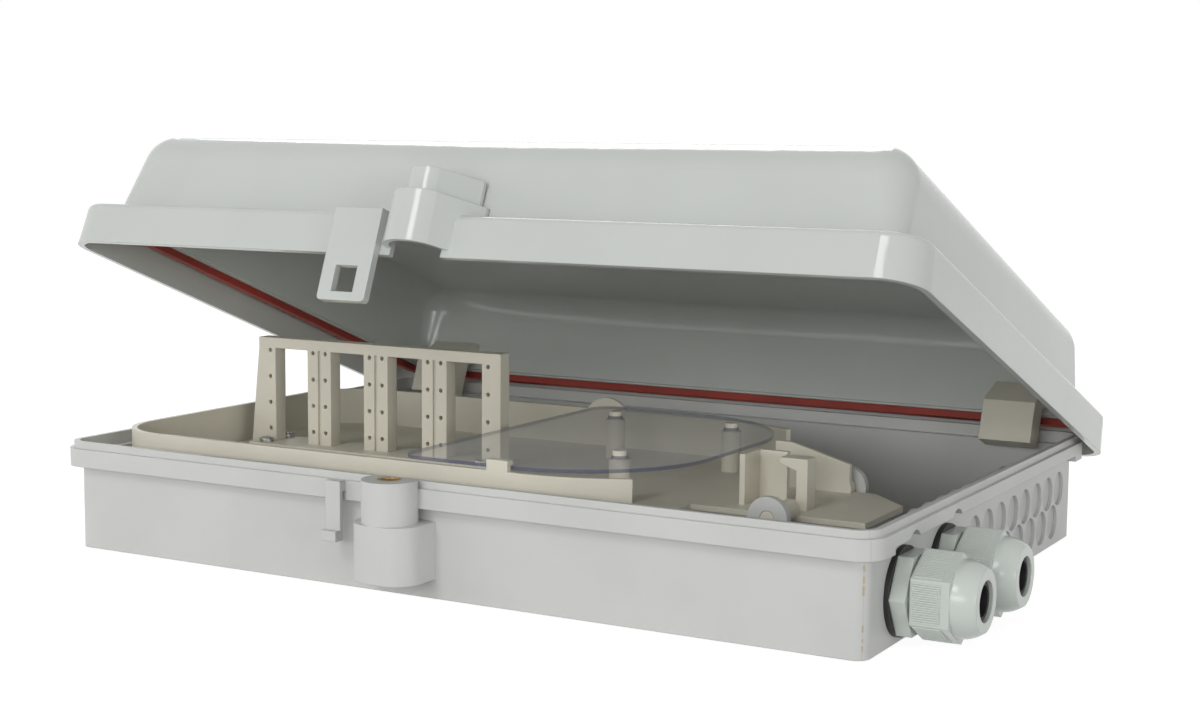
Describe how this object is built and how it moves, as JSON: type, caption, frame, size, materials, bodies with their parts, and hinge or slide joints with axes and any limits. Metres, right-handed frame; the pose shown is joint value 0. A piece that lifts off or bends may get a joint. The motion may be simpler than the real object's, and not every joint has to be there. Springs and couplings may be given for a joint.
{
  "type": "fibre distribution box",
  "caption": "Wall-mount plastic fibre distribution box with a hinged gasketed lid, hasp and lock, cable glands, drop ports, splice tray and open adapter panel.",
  "frame": {"origin": "centre of the flat back face that goes against the wall", "axes": "+X to the short wall with the cable entries, +Y to the hinge side, +Z out of the wall towards the lid"},
  "size_m": [0.3401, 0.2444, 0.1472],
  "materials": {
    "base_plastic": "fine matt moulded",
    "lid_plastic": "glossy moulded",
    "tray_plastic": "satin moulded",
    "plug_plastic": "matt moulded",
    "cover_clear": "clear polished",
    "gland_plastic": "glossy moulded",
    "black_rubber": "matt",
    "gasket_rubber": "matt",
    "insert_brass": "turned",
    "steel": "plated"
  },
  "bodies": {
    "base": {"base_tray": "base_plastic", "lock_insert": "insert_brass", "splice_tray": "tray_plastic", "clear_cover": "cover_clear", "adapter_panel": "tray_plastic", "panel_screws": "steel", "port_plugs": "plug_plastic", "hinge_pin_left": "steel", "hinge_pin_right": "steel", "gland_front_washer": "black_rubber", "gland_front_body": "gland_plastic", "gland_front_seal": "black_rubber", "gland_front_locknut": "gland_plastic", "gland_rear_washer": "black_rubber", "gland_rear_body": "gland_plastic", "gland_rear_seal": "black_rubber", "gland_rear_locknut": "gland_plastic"},
    "lid": {"lid_shell": "lid_plastic", "lid_gasket": "gasket_rubber", "hinge_block_left": "tray_plastic", "hinge_block_right": "tray_plastic"},
    "gland_nut_front": {"gland_front_nut": "gland_plastic"},
    "gland_nut_rear": {"gland_rear_nut": "gland_plastic"},
    "lock_screw": {"lock_screw": "steel"}
  },
  "joints": [
    {"name": "lid_hinge", "type": "hinge", "parent": "base", "child": "lid", "pos_m": [0, 0.112, 0.026], "axis": [-1, 0, 0], "range_deg": [-20.7, 84.3]},
    {"name": "gland_front_nut_turn", "type": "hinge", "parent": "base", "child": "gland_nut_front", "pos_m": [0.1645, -0.0778, 0.0155], "axis": [1, 0, 0], "continuous": true},
    {"name": "gland_rear_nut_turn", "type": "hinge", "parent": "base", "child": "gland_nut_rear", "pos_m": [0.1645, -0.0398, 0.0155], "axis": [1, 0, 0], "continuous": true},
    {"name": "lock_screw_turn", "type": "hinge", "parent": "lid", "child": "lock_screw", "pos_m": [-0.0085, -0.09093, 0.12834], "axis": [0, 0.3535, 0.9354], "continuous": true}
  ]
}
